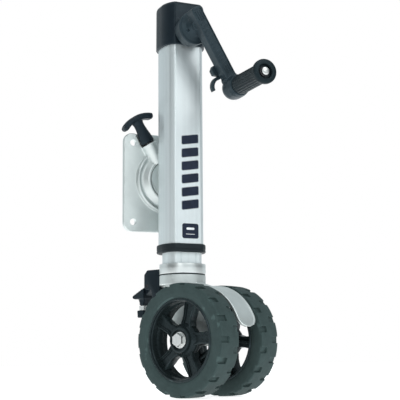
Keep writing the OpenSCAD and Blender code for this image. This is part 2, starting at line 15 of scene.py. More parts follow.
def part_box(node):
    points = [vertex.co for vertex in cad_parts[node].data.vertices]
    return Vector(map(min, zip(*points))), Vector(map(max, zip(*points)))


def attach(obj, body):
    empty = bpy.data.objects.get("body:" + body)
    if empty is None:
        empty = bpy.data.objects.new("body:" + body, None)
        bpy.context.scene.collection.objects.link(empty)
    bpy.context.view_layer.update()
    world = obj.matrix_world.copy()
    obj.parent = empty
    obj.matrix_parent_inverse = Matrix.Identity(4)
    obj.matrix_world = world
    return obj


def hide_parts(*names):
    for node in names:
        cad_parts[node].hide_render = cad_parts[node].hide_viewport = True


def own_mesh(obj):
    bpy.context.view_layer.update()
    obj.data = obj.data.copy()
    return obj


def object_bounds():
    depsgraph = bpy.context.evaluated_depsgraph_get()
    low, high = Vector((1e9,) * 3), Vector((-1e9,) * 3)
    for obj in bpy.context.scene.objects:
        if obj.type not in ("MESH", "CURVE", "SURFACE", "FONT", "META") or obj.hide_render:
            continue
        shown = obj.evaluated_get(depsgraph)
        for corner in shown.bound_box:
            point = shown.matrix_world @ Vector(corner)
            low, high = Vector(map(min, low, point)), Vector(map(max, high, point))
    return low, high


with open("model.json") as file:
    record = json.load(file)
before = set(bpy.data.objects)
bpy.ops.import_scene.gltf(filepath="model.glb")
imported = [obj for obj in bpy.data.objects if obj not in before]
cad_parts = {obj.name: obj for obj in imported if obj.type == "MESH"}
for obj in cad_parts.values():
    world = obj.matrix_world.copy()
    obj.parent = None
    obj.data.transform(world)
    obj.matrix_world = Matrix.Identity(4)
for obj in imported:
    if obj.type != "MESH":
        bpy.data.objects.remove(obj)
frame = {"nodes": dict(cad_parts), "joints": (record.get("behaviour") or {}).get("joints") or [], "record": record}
cad_low, cad_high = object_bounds()
joint = {j["name"]: j for j in frame["joints"]}
nodes = frame["nodes"]

MM = 0.001
UP = Vector((0, 0, 1))
FORWARD = Vector((0, -1, 0))
GROUND = cad_low.z
SHARP_ANGLE = 38


# ---------- camera ----------

CAMERA_AT = (-0.7524, -1.8569, -0.3404)
LOOK_ALONG = Vector((0.40674, 0.91355, 0))
PITCH = math.radians(8.64)
ROLL = math.radians(-0.4)

camera = bpy.data.objects.new("camera", bpy.data.cameras.new("camera"))
bpy.context.collection.objects.link(camera)
camera.data.sensor_width = 36
camera.data.lens = 92.4
camera.data.clip_start = 0.05
camera.data.clip_end = 50
view_line = LOOK_ALONG * math.cos(PITCH) + UP * math.sin(PITCH)
camera.matrix_world = (
    Matrix.Translation(CAMERA_AT)
    @ view_line.to_track_quat("-Z", "Y").to_matrix().to_4x4()
    @ Matrix.Rotation(ROLL, 4, "Z")
)
bpy.context.scene.camera = camera


# ---------- local frames ----------


def local_frame(origin, x_axis, z_axis):
    """Takes local millimetres to the row frame's metres."""
    z = Vector(z_axis).normalized()
    x = Vector(x_axis).normalized()
    turn = Matrix((x, z.cross(x), z)).transposed().to_4x4()
    return Matrix.Translation(origin) @ turn @ Matrix.Scale(MM, 4)


crank_at = Vector(joint["crank_turn"]["pos_m"])
grip_at = Vector(joint["grip_spin"]["pos_m"])
axle_left = Vector(joint["wheel_left_roll"]["pos_m"])
axle_right = Vector(joint["wheel_right_roll"]["pos_m"])
axle = (axle_right - axle_left).normalized()
wheel_forward = axle.cross(UP)
pin_axis = Vector(joint["pin_pull"]["axis"])
arm_reach = Vector((crank_at.x - grip_at.x, 0, crank_at.z - grip_at.z))
arm_up = arm_reach.normalized()

TUBE = local_frame((0, crank_at.y, GROUND), (1, 0, 0), UP)
CASTER = local_frame((0, crank_at.y, GROUND), axle, UP)
CRANK = local_frame(crank_at, arm_up.cross(FORWARD), FORWARD)
PLATE = local_frame((0, 0, 0), (1, 0, 0), FORWARD)
pin_low, pin_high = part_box("lock_pin")
PIN = local_frame((0, (pin_low.y + pin_high.y) / 2, 0), pin_axis.cross(FORWARD), pin_axis)
WHEEL = {
    "left": local_frame(axle_left, wheel_forward, -axle),
    "right": local_frame(axle_right, wheel_forward, axle),
}
CRANK_H = (crank_at.z - GROUND) / MM  # heights are above the ground
ARM = arm_reach.length / MM
AXLE_H = (axle_left.z - GROUND) / MM
TRAIL = (CASTER.inverted() @ ((axle_left + axle_right) / 2)).y * -1


def local_box(place, node):
    """A node's low and high corners in one of the local frames."""
    return [place.inverted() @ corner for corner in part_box(node)]


def height(node, end):
    """A node's lower (0) or upper (1) end, in millimetres above the ground."""
    return (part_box(node)[end].z - GROUND) / MM


# ---------- outlines ----------


def circle(r, steps=96, at=(0, 0)):
    return [(at[0] + r * math.cos(i * math.tau / steps), at[1] + r * math.sin(i * math.tau / steps))
            for i in range(steps)]


def arc(centre, r, start, end, steps):
    """Points on a circle between two angles in degrees, both ends included."""
    angles = [math.radians(start + (end - start) * i / steps) for i in range(steps + 1)]
    return [(centre[0] + r * math.cos(a), centre[1] + r * math.sin(a)) for a in angles]


def tidy_outline(points):
    """Drops repeated points and runs the outline counter-clockwise."""
    kept = [p for i, p in enumerate(points) if (Vector(p) - Vector(points[i - 1])).length > 1e-4]
    area = sum(kept[i - 1][0] * kept[i][1] - kept[i][0] * kept[i - 1][1] for i in range(len(kept)))
    return kept if area > 0 else kept[::-1]


def rounded(corners, steps=5, closed=True):
    """An outline with its corners rounded. Each corner is (x, y) or (x, y, radius)."""
    points = []
    count = len(corners)
    for i, corner in enumerate(corners):
        radius = corner[2] if len(corner) > 2 else 0
        if radius <= 0 or (not closed and i in (0, count - 1)):
            points.append((corner[0], corner[1]))
            continue
        before, here, after = (Vector(corners[j % count][:2]) for j in (i - 1, i, i + 1))
        back, on = (before - here), (after - here)
        half = back.angle(on) / 2
        reach = min(radius / math.tan(half), 0.49 * back.length, 0.49 * on.length)
        start = here + back.normalized() * reach
        end = here + on.normalized() * reach
        radius = reach * math.tan(half)
        centre = here + (back.normalized() + on.normalized()).normalized() * (radius / math.sin(half))
        first, last = start - centre, end - centre
        sweep = math.atan2(first.x * last.y - first.y * last.x, first.dot(last))
        for k in range(steps + 1):
            c, s = math.cos(sweep * k / steps), math.sin(sweep * k / steps)
            points.append((centre.x + first.x * c - first.y * s, centre.y + first.x * s + first.y * c))
    return points


def inset(outline, distance):
    """The outline moved inwards by a distance, point by point."""
    moved = []
    for i, here in enumerate(outline):
        a, b, c = Vector(outline[i - 1]), Vector(here), Vector(outline[(i + 1) % len(outline)])
        u, v = (b - a).normalized(), (c - b).normalized()
        normal = Vector((-u.y - v.y, u.x + v.x)).normalized()
        b = b + normal * (distance / max(normal.dot(Vector((-u.y, u.x))), 0.4))
        moved.append((b.x, b.y))
    return moved


def d_outline(r, flat, depth, corner):
    """The tubes' section: a flat front at y = -flat with rounded corners, round sides and a round back."""
    cy = corner - flat
    cx = math.sqrt((r - corner) ** 2 - cy ** 2)
    turn = math.degrees(math.atan2(cy, cx))
    right = (arc((cx, cy), corner, -90, turn, 6) + arc((0, 0), r, turn, 0, 14)
             + arc((0, depth), r, 0, 90, 22))
    return tidy_outline(right + [(-x, y) for x, y in reversed(right)])


def box_outline(x0, y0, x1, y1, radius):
    return tidy_outline(rounded([(x0, y0, radius), (x1, y0, radius), (x1, y1, radius), (x0, y1, radius)]))


# ---------- shapes ----------


def mesh_object(name, bm, place=None):
    if place is not None:
        bm.transform(place)
    bmesh.ops.recalc_face_normals(bm, faces=bm.faces)
    mesh = bpy.data.meshes.new(name)
    bm.to_mesh(mesh)
    bm.free()
    obj = bpy.data.objects.new(name, mesh)
    bpy.context.collection.objects.link(obj)
    return obj


def skin(rows, closed=False, place=None):
    """A solid through rows of points with equal count. A closed one is a hollow ring."""
    bm = bmesh.new()
    rows = [[bm.verts.new(point) for point in row] for row in rows]
    pairs = list(zip(rows, rows[1:])) + ([(rows[-1], rows[0])] if closed else [])
    for low, high in pairs:
        for i in range(len(low)):
            bm.faces.new((low[i - 1], low[i], high[i], high[i - 1]))
    if not closed:
        bm.faces.new(rows[0][::-1])
        bm.faces.new(rows[-1])
    return mesh_object("skin", bm, place)


def loft(sections, closed=False, place=None):
    """A solid through outlines of equal count, each given with its height."""
    return skin([[(x, y, z) for x, y in outline] for outline, z in sections], closed, place)


def lathe(profile, steps=96, closed=False, place=None):
    """Turns a profile of (radius, height) about z."""
    return loft([(circle(max(r, 0.02), steps), z) for r, z in profile], closed, place)


def slab(outline, low, high, edge=1.0, place=None):
    """An outline pushed up from low to high with its edges rounded."""
    outline = tidy_outline(outline)
    if edge <= 0:
        return loft([(outline, low), (outline, high)], place=place)
    steps = 3
    ends = []
    for k in range(steps + 1):
        a = math.pi / 2 * k / steps
        ends.append((inset(outline, edge * (1 - math.sin(a))), edge * (1 - math.cos(a))))
    return loft([(o, low + h) for o, h in ends] + [(o, high - h) for o, h in reversed(ends)], place=place)


def rod(r0, r1, start, end, steps=48):
    """A round rod or cone between two points."""
    start, end = Vector(start), Vector(end)
    place = Matrix.Translation(start) @ (end - start).to_track_quat("Z", "Y").to_matrix().to_4x4()
    return lathe([(r0, 0), (r1, (end - start).length)], steps, place=place)


def sideways(outline, half, edge=1.0):
    """A side view in (y, height) made solid across x."""
    across = Matrix(((0, 0, 1, 0), (1, 0, 0, 0), (0, 1, 0, 0), (0, 0, 0, 1)))
    return slab(outline, -half, half, edge, place=across)


def settle(obj):
    """Replaces the object's mesh by what its modifiers make of it."""
    graph = bpy.context.evaluated_depsgraph_get()
    made = bpy.data.meshes.new_from_object(obj.evaluated_get(graph))
    obj.modifiers.clear()
    old = obj.data
    obj.data = made
    bpy.data.meshes.remove(old)
    return obj


def drop(obj):
    mesh = obj.data
    bpy.data.objects.remove(obj)
    bpy.data.meshes.remove(mesh)


def merge(*objs):
    """Puts several shells into the first object."""
    bm = bmesh.new()
    for obj in objs:
        bm.from_mesh(obj.data)
    bm.to_mesh(objs[0].data)
    bm.free()
    for obj in objs[1:]:
        drop(obj)
    return objs[0]


def combine(obj, operation, *tools):
    for tool in tools:
        step = obj.modifiers.new("combine", "BOOLEAN")
        step.operation = operation
        step.solver = "EXACT"
        step.object = tool
        settle(obj)
        drop(tool)
    return obj


def cut(obj, *tools):
    return combine(obj, "DIFFERENCE", *tools)


def cast(obj, voxel, passes):
    """Joins overlapping shells into one skin with soft corners, like a casting."""
    remesh = obj.modifiers.new("skin", "REMESH")
    remesh.mode = "VOXEL"
    remesh.voxel_size = voxel
    settle(obj)
    smooth = obj.modifiers.new("soft", "SMOOTH")
    smooth.factor = 0.5
    smooth.iterations = passes
    return settle(obj)


def soften(obj, width, steps=2, angle=30):
    """Rounds every edge sharper than an angle."""
    weld = obj.modifiers.new("weld", "WELD")
    weld.merge_threshold = 0.001
    bevel = obj.modifiers.new("edges", "BEVEL")
    bevel.width = width
    bevel.segments = steps
    bevel.limit_method = "ANGLE"
    bevel.angle_limit = math.radians(angle)
    bevel.use_clamp_overlap = True
    return settle(obj)


def around(obj, copies):
    """Repeats a shell evenly about z."""
    bm = bmesh.new()
    for i in range(copies):
        start = len(bm.verts)
        bm.from_mesh(obj.data)
        bm.verts.ensure_lookup_table()
        bmesh.ops.rotate(bm, cent=(0, 0, 0), matrix=Matrix.Rotation(math.tau * i / copies, 3, "Z"),
                         verts=bm.verts[start:])
    bm.to_mesh(obj.data)
    bm.free()
    return obj


def moved(obj, matrix):
    obj.data.transform(matrix)
    if matrix.determinant() < 0:
        obj.data.flip_normals()
    return obj


def piece(obj, name, place, body, slot, replaced=()):
    """Puts a finished shape into the row frame as a piece that moves with a CAD body."""
    obj.name = name
    obj.data.name = name
    moved(obj, place)
    obj.data.polygons.foreach_set("use_smooth", [True] * len(obj.data.polygons))
    obj.data.set_sharp_from_angle(angle=math.radians(SHARP_ANGLE))
    obj.data.materials.clear()
    obj.data.materials.append(MATERIALS[slot])
    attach(obj, body)
    if replaced:
        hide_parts(*replaced)
    return obj


# ---------- materials ----------


class Graph:
    """A small helper that adds and links shader nodes."""

    def __init__(self, name):
        self.material = bpy.data.materials.new(name)
        self.material.use_nodes = True
        self.tree = self.material.node_tree
        self.tree.nodes.clear()
        self.shader = self.add("ShaderNodeBsdfPrincipled")
        output = self.add("ShaderNodeOutputMaterial")
        self.tree.links.new(self.shader.outputs["BSDF"], output.inputs["Surface"])
        self.place = self.add("ShaderNodeTexCoord").outputs["Object"]

    def add(self, kind, **values):
        node = self.tree.nodes.new(kind)
        for key, value in values.items():
            setattr(node, key, value)
        return node

    def link(self, source, node, socket):
        self.tree.links.new(source, node.inputs[socket])

    def noise(self, scale, detail=4.0, stretch=(1, 1, 1), roughness=0.55):
        """Noise with its scale in turns per metre, stretched along the axes."""
        mapping = self.add("ShaderNodeMapping")
        mapping.inputs["Scale"].default_value = [scale * s for s in stretch]
        self.link(self.place, mapping, "Vector")
        noise = self.add("ShaderNodeTexNoise")
        noise.inputs["Scale"].default_value = 1.0
        noise.inputs["Detail"].default_value = detail
        noise.inputs["Roughness"].default_value = roughness
        self.link(mapping.outputs["Vector"], noise, "Vector")
        return noise.outputs["Fac"]

    def remap(self, value, low, high, to_low=0.0, to_high=1.0):
        node = self.add("ShaderNodeMapRange")
        self.link(value, node, "Value")
        ends = (("From Min", low), ("From Max", high), ("To Min", to_low), ("To Max", to_high))
        for socket, number in ends:
            node.inputs[socket].default_value = number
        return node.outputs["Result"]

    def mix(self, share, first, second):
        """Mixes two colours, each an RGB triple or a socket."""
        node = self.add("ShaderNodeMix", data_type="RGBA")
        self.link(share, node, "Factor")
        for value, index in ((first, 6), (second, 7)):
            if isinstance(value, tuple):
                node.inputs[index].default_value = (*value, 1)
            else:
                self.tree.links.new(value, node.inputs[index])
        return node.outputs[2]

    def blend(self, share, first, second):
        """Mixes two numbers, each a number or a socket."""
        node = self.add("ShaderNodeMix", data_type="FLOAT")
        self.link(share, node, "Factor")
        for value, index in ((first, 2), (second, 3)):
            if isinstance(value, (int, float)):
                node.inputs[index].default_value = value
            else:
                self.tree.links.new(value, node.inputs[index])
        return node.outputs[0]

    def bump(self, height, strength, distance, under=None):
        node = self.add("ShaderNodeBump")
        node.inputs["Strength"].default_value = strength
        node.inputs["Distance"].default_value = distance
        self.link(height, node, "Height")
        if under is not None:
            self.link(under, node, "Normal")
        return node.outputs["Normal"]

    def edges(self, low=0.52, high=0.60):
        """1 on convex edges, 0 elsewhere: worn edges, and in the moulded plastics also a painted highlight on the
        edges.
        """
        return self.remap(self.add("ShaderNodeNewGeometry").outputs["Pointiness"], low, high)

    def finish(self, colour, rough, normal, metallic=0.0, **constants):
        self.link(colour, self.shader, "Base Color")
        self.link(rough, self.shader, "Roughness")
        self.link(normal, self.shader, "Normal")
        self.shader.inputs["Metallic"].default_value = metallic
        for name, value in constants.items():
            self.shader.inputs[name.replace("_", " ")].default_value = value
        return self.material


def tint(colour, factor):
    return tuple(min(c * factor, 1.0) for c in colour)


def cast_metal(name, colour, rough, grain, depth):
    """Tumbled cast metal: mottled, with a fine grain and edges polished by handling."""
    g = Graph(name)
    cloud = g.noise(22, 5)
    fine = g.noise(grain, 3)
    edge_wear_and_highlight = g.edges()
    colour_out = g.mix(g.remap(cloud, 0.3, 0.7), tint(colour, 0.9), tint(colour, 1.05))
    colour_out = g.mix(edge_wear_and_highlight, colour_out, tint(colour, 1.2))
    rough_out = g.remap(g.noise(90, 4), 0.25, 0.75, rough - 0.05, rough + 0.09)
    rough_out = g.blend(edge_wear_and_highlight, rough_out, rough - 0.14)
    normal = g.bump(fine, 0.35, depth, g.bump(cloud, 0.10, depth * 6))
    return g.finish(colour_out, rough_out, normal, metallic=1.0)


def drawn_metal(name, colour, rough, stretch, depth):
    """Extruded, turned or brushed metal: fine streaks along or round the part."""
    g = Graph(name)
    streak = g.noise(1500, 2, stretch)
    broad = g.noise(160, 3, stretch)
    cloud = g.noise(14, 4)
    colour_out = g.mix(g.remap(broad, 0.3, 0.7), tint(colour, 0.95), tint(colour, 1.04))
    colour_out = g.mix(g.remap(cloud, 0.55, 0.8), colour_out, tint(colour, 0.9))
    rough_out = g.remap(broad, 0.25, 0.75, rough - 0.05, rough + 0.07)
    normal = g.bump(streak, 0.22, depth)
    return g.finish(colour_out, rough_out, normal, metallic=1.0)


DULL_SHEEN = {"Specular_IOR_Level": 0.25, "Specular_Tint": (0.72, 0.9, 1, 1)}


def moulded(name, colour, rough, grain=1400, edge_wear_and_highlight=2.2):
    """Moulded plastic: an even spark texture, faint flow marks, and edges lightened partly as wear and partly as a
    painted highlight.
    """
    g = Graph(name)
    cloud = g.noise(30, 4)
    edges = g.edges(0.53, 0.64)
    colour_out = g.mix(g.remap(cloud, 0.3, 0.75), tint(colour, 0.85), tint(colour, 1.2))
    # edges lightened by a factor: partly wear, partly a painted highlight on the bevels
    colour_out = g.mix(edges, colour_out, tint(colour, edge_wear_and_highlight))
    rough_out = g.remap(g.noise(160, 4), 0.25, 0.75, rough - 0.06, rough + 0.08)
    normal = g.bump(g.noise(grain, 2), 0.4, 0.00012, g.bump(cloud, 0.08, 0.0006))
    return g.finish(colour_out, rough_out, normal, **DULL_SHEEN)


def rubber(name, colour, rough):
    """Matt tyre rubber: a dusty bloom in patches and scuffed lug edges."""
    g = Graph(name)
    bloom = g.noise(45, 6, roughness=0.65)
    scuff = g.edges(0.51, 0.60)
    colour_out = g.mix(g.remap(bloom, 0.35, 0.75), colour, tint(colour, 1.35))
    colour_out = g.mix(scuff, colour_out, tint(colour, 1.9))
    rough_out = g.remap(g.noise(220, 4), 0.2, 0.8, rough - 0.08, rough + 0.1)
    normal = g.bump(g.noise(1100, 3), 0.35, 0.00025, g.bump(bloom, 0.12, 0.0008))
    return g.finish(colour_out, rough_out, normal, **DULL_SHEEN)


def plated(name, colour, rough, spangle=0.08):
    """Zinc plate, bronze or blackened steel: small cloudy patches and hairline scratches."""
    g = Graph(name)
    cloud = g.noise(240, 4)
    scratch = g.noise(1300, 2, (1, 0.12, 0.4))
    colour_out = g.mix(g.remap(cloud, 0.3, 0.7), tint(colour, 1 - spangle), tint(colour, 1 + spangle))
    colour_out = g.mix(g.edges(), colour_out, tint(colour, 1.25))
    rough_out = g.remap(cloud, 0.25, 0.75, rough - 0.06, rough + 0.09)
    return g.finish(colour_out, rough_out, g.bump(scratch, 0.2, 0.0001), metallic=1.0)


def film(name, colour, rough):
    """Printed film: a satin face with the faint orange peel of the metal under it."""
    g = Graph(name)
    colour_out = g.mix(g.remap(g.noise(60, 3), 0.3, 0.7), tint(colour, 0.85), tint(colour, 1.25))
    rough_out = g.remap(g.noise(300, 3), 0.3, 0.7, rough - 0.04, rough + 0.06)
    return g.finish(colour_out, rough_out, g.bump(g.noise(900, 2), 0.15, 0.0001), Specular_IOR_Level=0.2)


ALONG = (1, 1, 0.006)
ROUND = (0.02, 0.02, 1)
MATERIALS = {
    "cast_aluminium": cast_metal("cast_aluminium", (0.68, 0.72, 0.71), 0.46, 900, 0.0002),
    "tube_aluminium": drawn_metal("tube_aluminium", (0.74, 0.79, 0.80), 0.48, ALONG, 0.00006),
    "machined_aluminium": drawn_metal("machined_aluminium", (0.80, 0.83, 0.82), 0.34, ROUND, 0.00008),
    # the moulded plastics' edge factor (2.2 unless given) lightens their edges: partly wear, partly a painted
    # highlight
    "black_plastic": moulded("black_plastic", (0.008, 0.013, 0.018), 0.36),
    "crank_plastic": moulded("crank_plastic", (0.018, 0.029, 0.036), 0.34, edge_wear_and_highlight=3.5),
    "ring_plastic": moulded("ring_plastic", (0.011, 0.014, 0.016), 0.5),
    "grip_rubber": moulded("grip_rubber", (0.004, 0.008, 0.010), 0.42, grain=1000, edge_wear_and_highlight=3.0),
    "rim_plastic": moulded("rim_plastic", (0.013, 0.019, 0.020), 0.28, edge_wear_and_highlight=4.0),
    "tyre_rubber": rubber("tyre_rubber", (0.034, 0.052, 0.050), 0.66),
    "steel": plated("steel", (0.66, 0.67, 0.66), 0.32),
    "gear_steel": plated("gear_steel", (0.34, 0.34, 0.35), 0.38, 0.12),
    "dark_steel": plated("dark_steel", (0.05, 0.05, 0.055), 0.45, 0.15),
    "bronze": plated("bronze", (0.50, 0.34, 0.16), 0.42, 0.1),
    "decal_film": film("decal_film", (0.012, 0.018, 0.035), 0.35),
    "decal_outline": film("decal_outline", (0.42, 0.45, 0.47), 0.4),
    "decal_white": film("decal_white", (0.75, 0.78, 0.8), 0.4),
}


# ---------- tube, leg and cap ----------

TUBE_R = 39.5
TUBE_FLAT = 30
TUBE_DEPTH = 15
TUBE_CORNER = 4.5
WALL = 3
LEG_R = 36
LEG_FLAT = 26.5
LEG_DEPTH = 5
LEG_CORNER = 3.5
GROOVE_X = 15
GROOVE_HALF = 1.6
SKIRT = 4.2  # how far the cap and the ring stand out from the tube
SHAFT_BORE_R = 9.6
CAP_SCREW_X = 14
CAP_SCREW_H = 666.5


def tube_shell(r, flat, depth, corner, low, high):
    """A D-section tube with a wall and slightly broken ends."""
    lip = 0.6
    outer = d_outline(r, flat, depth, corner)
    inner = d_outline(r - WALL, flat - WALL, depth, max(corner - WALL, 0.8))
    return loft([(inset(outer, lip), low), (outer, low + lip), (outer, high - lip), (inset(outer, lip), high),
                 (inner, high), (inner, low)], closed=True)


outer = tube_shell(TUBE_R, TUBE_FLAT, TUBE_DEPTH, TUBE_CORNER,
                   height("outer_tube", 0), height("outer_tube", 1))
piece(outer, "tube_outer", TUBE, "jack_tube", "tube_aluminium", ["outer_tube"])

leg_low, leg_high = height("inner_tube", 0), height("inner_tube", 1)
leg = tube_shell(LEG_R, LEG_FLAT, LEG_DEPTH, LEG_CORNER, leg_low, leg_high)
for x in (-GROOVE_X, GROOVE_X):
    groove = box_outline(x - GROOVE_HALF, -LEG_FLAT - 3, x + GROOVE_HALF, -LEG_FLAT + 1.5, 0.6)
    cut(leg, slab(groove, leg_low - 5, leg_high + 5, 0))
piece(leg, "tube_inner", TUBE, "leg", "tube_aluminium", ["inner_tube"])


def tube_bore(low, high):
    """What the tube's outside takes out of the cap and the ring."""
    section = d_outline(TUBE_R + 0.1, TUBE_FLAT + 0.1, TUBE_DEPTH, TUBE_CORNER)
    return loft([(section, low), (section, high)])


def cap_shape():
    """The moulded cap: straight skirt, chamfered and domed top, a bore for the crank's shaft and two screw seats.
    """
    low, high = height("top_cap", 0), height("top_cap", 1)
    r, flat = TUBE_R + SKIRT, TUBE_FLAT + SKIRT
    top = high - low
    rise = [(1.2, 0), (0, 1.4), (0.25, 40), (0.5, top - 9), (0.9, top - 6.4), (1.8, top - 4.3),
            (3.2, top - 2.8), (5.2, top - 1.7), (8.5, top - 0.9), (14, top - 0.3), (22, top)]
    shape = loft([(d_outline(r - i, flat - i, TUBE_DEPTH, max(6.5 - i * 0.12, 3)), low + z) for i, z in rise])
    shaft = rod(SHAFT_BORE_R, SHAFT_BORE_R, (0, -20, CRANK_H), (0, -60, CRANK_H))
    screw_seats = [rod(4.1, 4.1, (x, 54.5, CAP_SCREW_H), (x, 70, CAP_SCREW_H))
                   for x in (-CAP_SCREW_X, CAP_SCREW_X)]
    return cut(shape, tube_bore(low - 2, high - 12), shaft, *screw_seats)


piece(cap_shape(), "cap", TUBE, "jack_tube", "black_plastic", ["top_cap"])


def ring_shape():
    """The wiper ring on the tube's lower end, with softened edges and a shallow groove round it."""
    low, high = height("bottom_ring", 0), height("bottom_ring", 1)
    r, flat, depth = TUBE_R + SKIRT, TUBE_FLAT + SKIRT, TUBE_DEPTH - 2
    outside = [(1.6, 0), (0.5, 0.5), (0, 1.7), (0, 4.2), (0.5, 4.8), (0.5, 5.6), (0, 6.2), (0, 12.9),
               (0.5, 14.9), (1.8, high - low)]
    shape = loft([(d_outline(r - i, flat - i, depth, 5), low + z) for i, z in outside])
    leg_section = d_outline(LEG_R + 0.3, LEG_FLAT + 0.3, LEG_DEPTH, LEG_CORNER)
    throat = loft([(leg_section, low - 2), (leg_section, high + 3)])
    return cut(shape, tube_bore(height("outer_tube", 0) - 0.1, high + 2), throat)


piece(ring_shape(), "wiper_ring", TUBE, "jack_tube", "ring_plastic", ["bottom_ring"])


# ---------- decals ----------

FRONT = Matrix(((1, 0, 0, 0), (0, 0, -1, -TUBE_FLAT), (0, 1, 0, 0), (0, 0, 0, 1)))
FILM = 0.15
BARS = 6
BORDER = 1.2
stripe_low, stripe_high = local_box(TUBE, "stripe_decal")
badge_low, badge_high = local_box(TUBE, "badge")


def on_front(outline, lift):
    """A film of this outline on the tube's flat front."""
    return moved(slab(outline, lift, lift + FILM, 0), FRONT)


def slanted_bars(border, slant, radius, lift):
    """Slanted bars that fill the stripe's place, each drawn in by a border."""
    x0, x1 = stripe_low.x + border, stripe_high.x - border
    pitch = (stripe_high.z - stripe_low.z) / BARS
    films = []
    for i in range(BARS):
        z0 = stripe_low.z + i * pitch + 0.4 + border
        z1 = stripe_low.z + i * pitch + pitch - 0.4 - border
        corners = [(x0, z0, radius), (x1, z0 + slant, radius), (x1, z1, radius), (x0, z1 - slant, radius)]
        films.append(on_front(tidy_outline(rounded(corners)), lift))
    return merge(*films)


piece(slanted_bars(0, 5.5, 3, 0), "stripe_outline", TUBE, "jack_tube", "decal_outline")
piece(slanted_bars(BORDER, 5.3, 2.4, FILM), "stripe_bars", TUBE, "jack_tube", "decal_film", ["stripe_decal"])

badge_plate = on_front(box_outline(badge_low.x, badge_low.z, badge_high.x, badge_high.z, 4), 0)
piece(badge_plate, "badge_plate", TUBE, "jack_tube", "decal_film", ["badge"])
mid_x, mid_z = (badge_low.x + badge_high.x) / 2, (badge_low.z + badge_high.z) / 2
bar_and_line = merge(
    on_front(box_outline(mid_x - 8, mid_z + 2.2, mid_x + 8, mid_z + 6.4, 1.8), FILM),
    on_front(box_outline(mid_x - 9, mid_z - 6.4, mid_x + 9, mid_z - 5.5, 0.4), FILM),
)
piece(bar_and_line, "badge_mark", TUBE, "jack_tube", "decal_white")


# ---------- mounting bracket ----------

plate_low, plate_high = local_box(PLATE, "mount_plate")
PLATE_T = 10
PLATE_CENTRE = (-9.5, -5.5)
HOLE_X = 62
HOLE_Z = 78
HOLE_R = 6.5
DISC_BORE_R = 39.9
PIN_HOUSING_R = 15.5
CHAMBER_R = 10.5
PIN_PLANE = -PIN.translation.y / MM
LEAN = Matrix.Rotation(math.atan2(-pin_axis.x, pin_axis.z), 4, "Z")


def bracket_shape():
    """The cast bracket: a flat plate, a raised ring round the pivot disc and the pull pin's housing."""
    outline = box_outline(plate_low.x, plate_low.y, plate_high.x, plate_high.y, 16)
    plate = slab(outline, 0, PLATE_T, 1.6)
    section = [(30, 4), (65.5, 4), (65.5, 13.5, 3), (63.5, 17.6, 2), (60.5, 17.6, 2), (57.5, 14.6, 3),
               (53.5, 15.2, 3), (45.2, 23.4, 1.6), (42.6, 24.6, 1.0), (DISC_BORE_R, 24.2), (DISC_BORE_R, 8),
               (30, 8)]
    ring = lathe(rounded(section), 128, closed=True)
    housing = moved(rod(PIN_HOUSING_R, PIN_HOUSING_R, (0, 40, PIN_PLANE), (0, 82, PIN_PLANE)), LEAN)
    foot = moved(slab(box_outline(-14.5, 50, 14.5, 80, 3), 0.5, 14, 1.5), LEAN)
    for shell in (plate, housing, foot):
        cut(shell, rod(DISC_BORE_R, DISC_BORE_R, (0, 0, 8), (0, 0, 60), 128))
    below = slab([(-200, -200), (200, -200), (200, 200), (-200, 200)], -60, 0, 0)
    cut(housing, below)
    shape = cast(merge(plate, ring, housing, foot), 0.8, 5)
    places = [(PLATE_CENTRE[0] + x, PLATE_CENTRE[1] + y)
              for x in (-HOLE_X, HOLE_X) for y in (-HOLE_Z, HOLE_Z)]
    bores = [rod(HOLE_R, HOLE_R, (x, y, -5), (x, y, 30)) for x, y in places]
    chamber = moved(rod(CHAMBER_R, CHAMBER_R, (0, 52, PIN_PLANE), (0, 90, PIN_PLANE)), LEAN)
    back = [rod(24, 24, (0, 0, -5), (0, 0, 4)), rod(19.1, 19.1, (0, 0, 3), (0, 0, 12))]
    along = Matrix(((1, 0, 0, 0), (0, 0, 1, 0), (0, 1, 0, PIN_PLANE), (0, 0, 0, 1)))
    trough = moved(slab(box_outline(-15.5, -11, 15.5, 11, 10.9), 81, 150, 0, place=along), LEAN)
    return cut(shape, chamber, trough, *bores, *back)


piece(bracket_shape(), "bracket_casting", PLATE, "bracket", "cast_aluminium", ["mount_plate"])


SPRING_FROM = 56.6
SPRING_TURNS = 4.75
SPRING_PITCH = 4
COIL_R = 7.4
WIRE_R = 0.9


def spring_shape():
    """The pull pin's return spring, a round wire wound up the pin's axis."""
    steps = 24
    rows = []
    for i in range(int(SPRING_TURNS * steps) + 1):
        turned = i * math.tau / steps
        along = SPRING_FROM + i * SPRING_PITCH / steps
        rows.append([((COIL_R + x) * math.cos(turned), (COIL_R + x) * math.sin(turned), along + z)
                     for x, z in circle(WIRE_R, 12)])
    return skin(rows)


spring = piece(spring_shape(), "pull_pin_spring", PIN, "bracket", "steel", ["pin_spring"])
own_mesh(spring)


BOW_AT = 81
BOW_R = 62
BOW_TILT = 36.5


